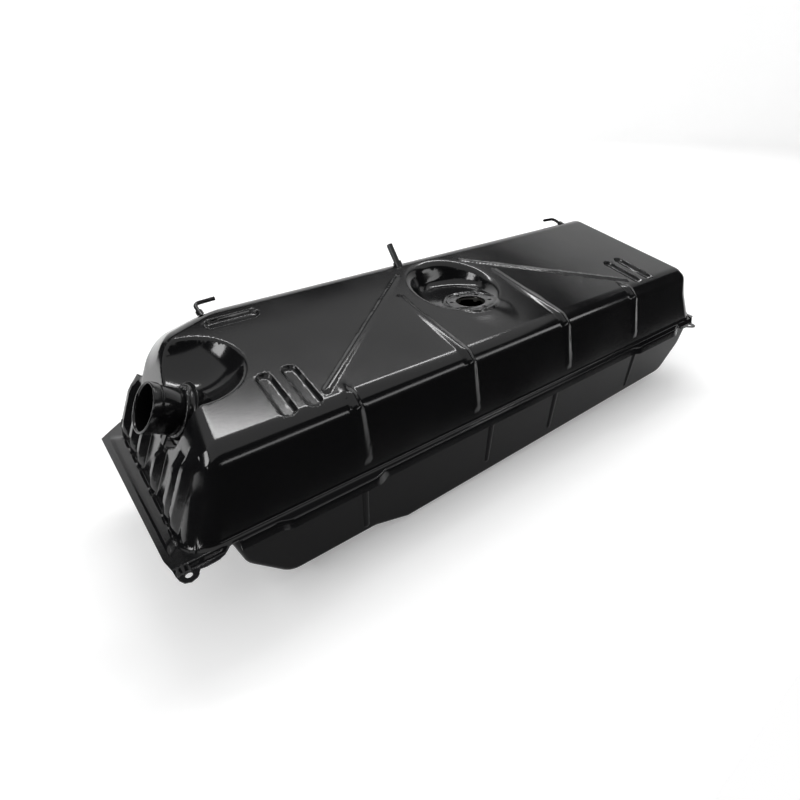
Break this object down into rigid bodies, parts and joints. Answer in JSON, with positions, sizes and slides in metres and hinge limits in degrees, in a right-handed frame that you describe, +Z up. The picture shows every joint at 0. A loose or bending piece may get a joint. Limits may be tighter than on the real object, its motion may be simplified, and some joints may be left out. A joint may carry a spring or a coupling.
{
  "type": "car fuel tank",
  "caption": "Long pressed-steel car fuel tank with a seam flange, angled filler neck, recessed sender opening, vent pipes and mounting ears.",
  "frame": {"origin": "middle of the flat underside that the tank stands on", "axes": "+X along the tank away from the filler end, +Y from the front long side to the rear, +Z up"},
  "size_m": [0.912, 0.3115, 0.272],
  "materials": {
    "black_paint": "gloss",
    "pipe_paint": "satin",
    "plated_steel": "satin"
  },
  "bodies": {
    "root": {"upper_shell": "black_paint", "lower_shell": "black_paint", "filler_neck": "black_paint", "neck_collar": "black_paint", "neck_tab": "black_paint", "vent_pipe_left": "pipe_paint", "vent_pipe_centre": "pipe_paint", "vent_pipe_right": "pipe_paint", "vent_boss_left": "pipe_paint", "vent_boss_centre": "pipe_paint", "vent_boss_right": "pipe_paint", "sender_ring": "plated_steel", "sender_nut_1": "plated_steel", "sender_nut_2": "plated_steel", "sender_nut_3": "plated_steel", "sender_nut_4": "plated_steel", "sender_nut_5": "plated_steel", "sender_nut_6": "plated_steel", "baffle_left": "plated_steel", "baffle_right": "plated_steel", "swirl_pot": "plated_steel"}
  },
  "joints": []
}
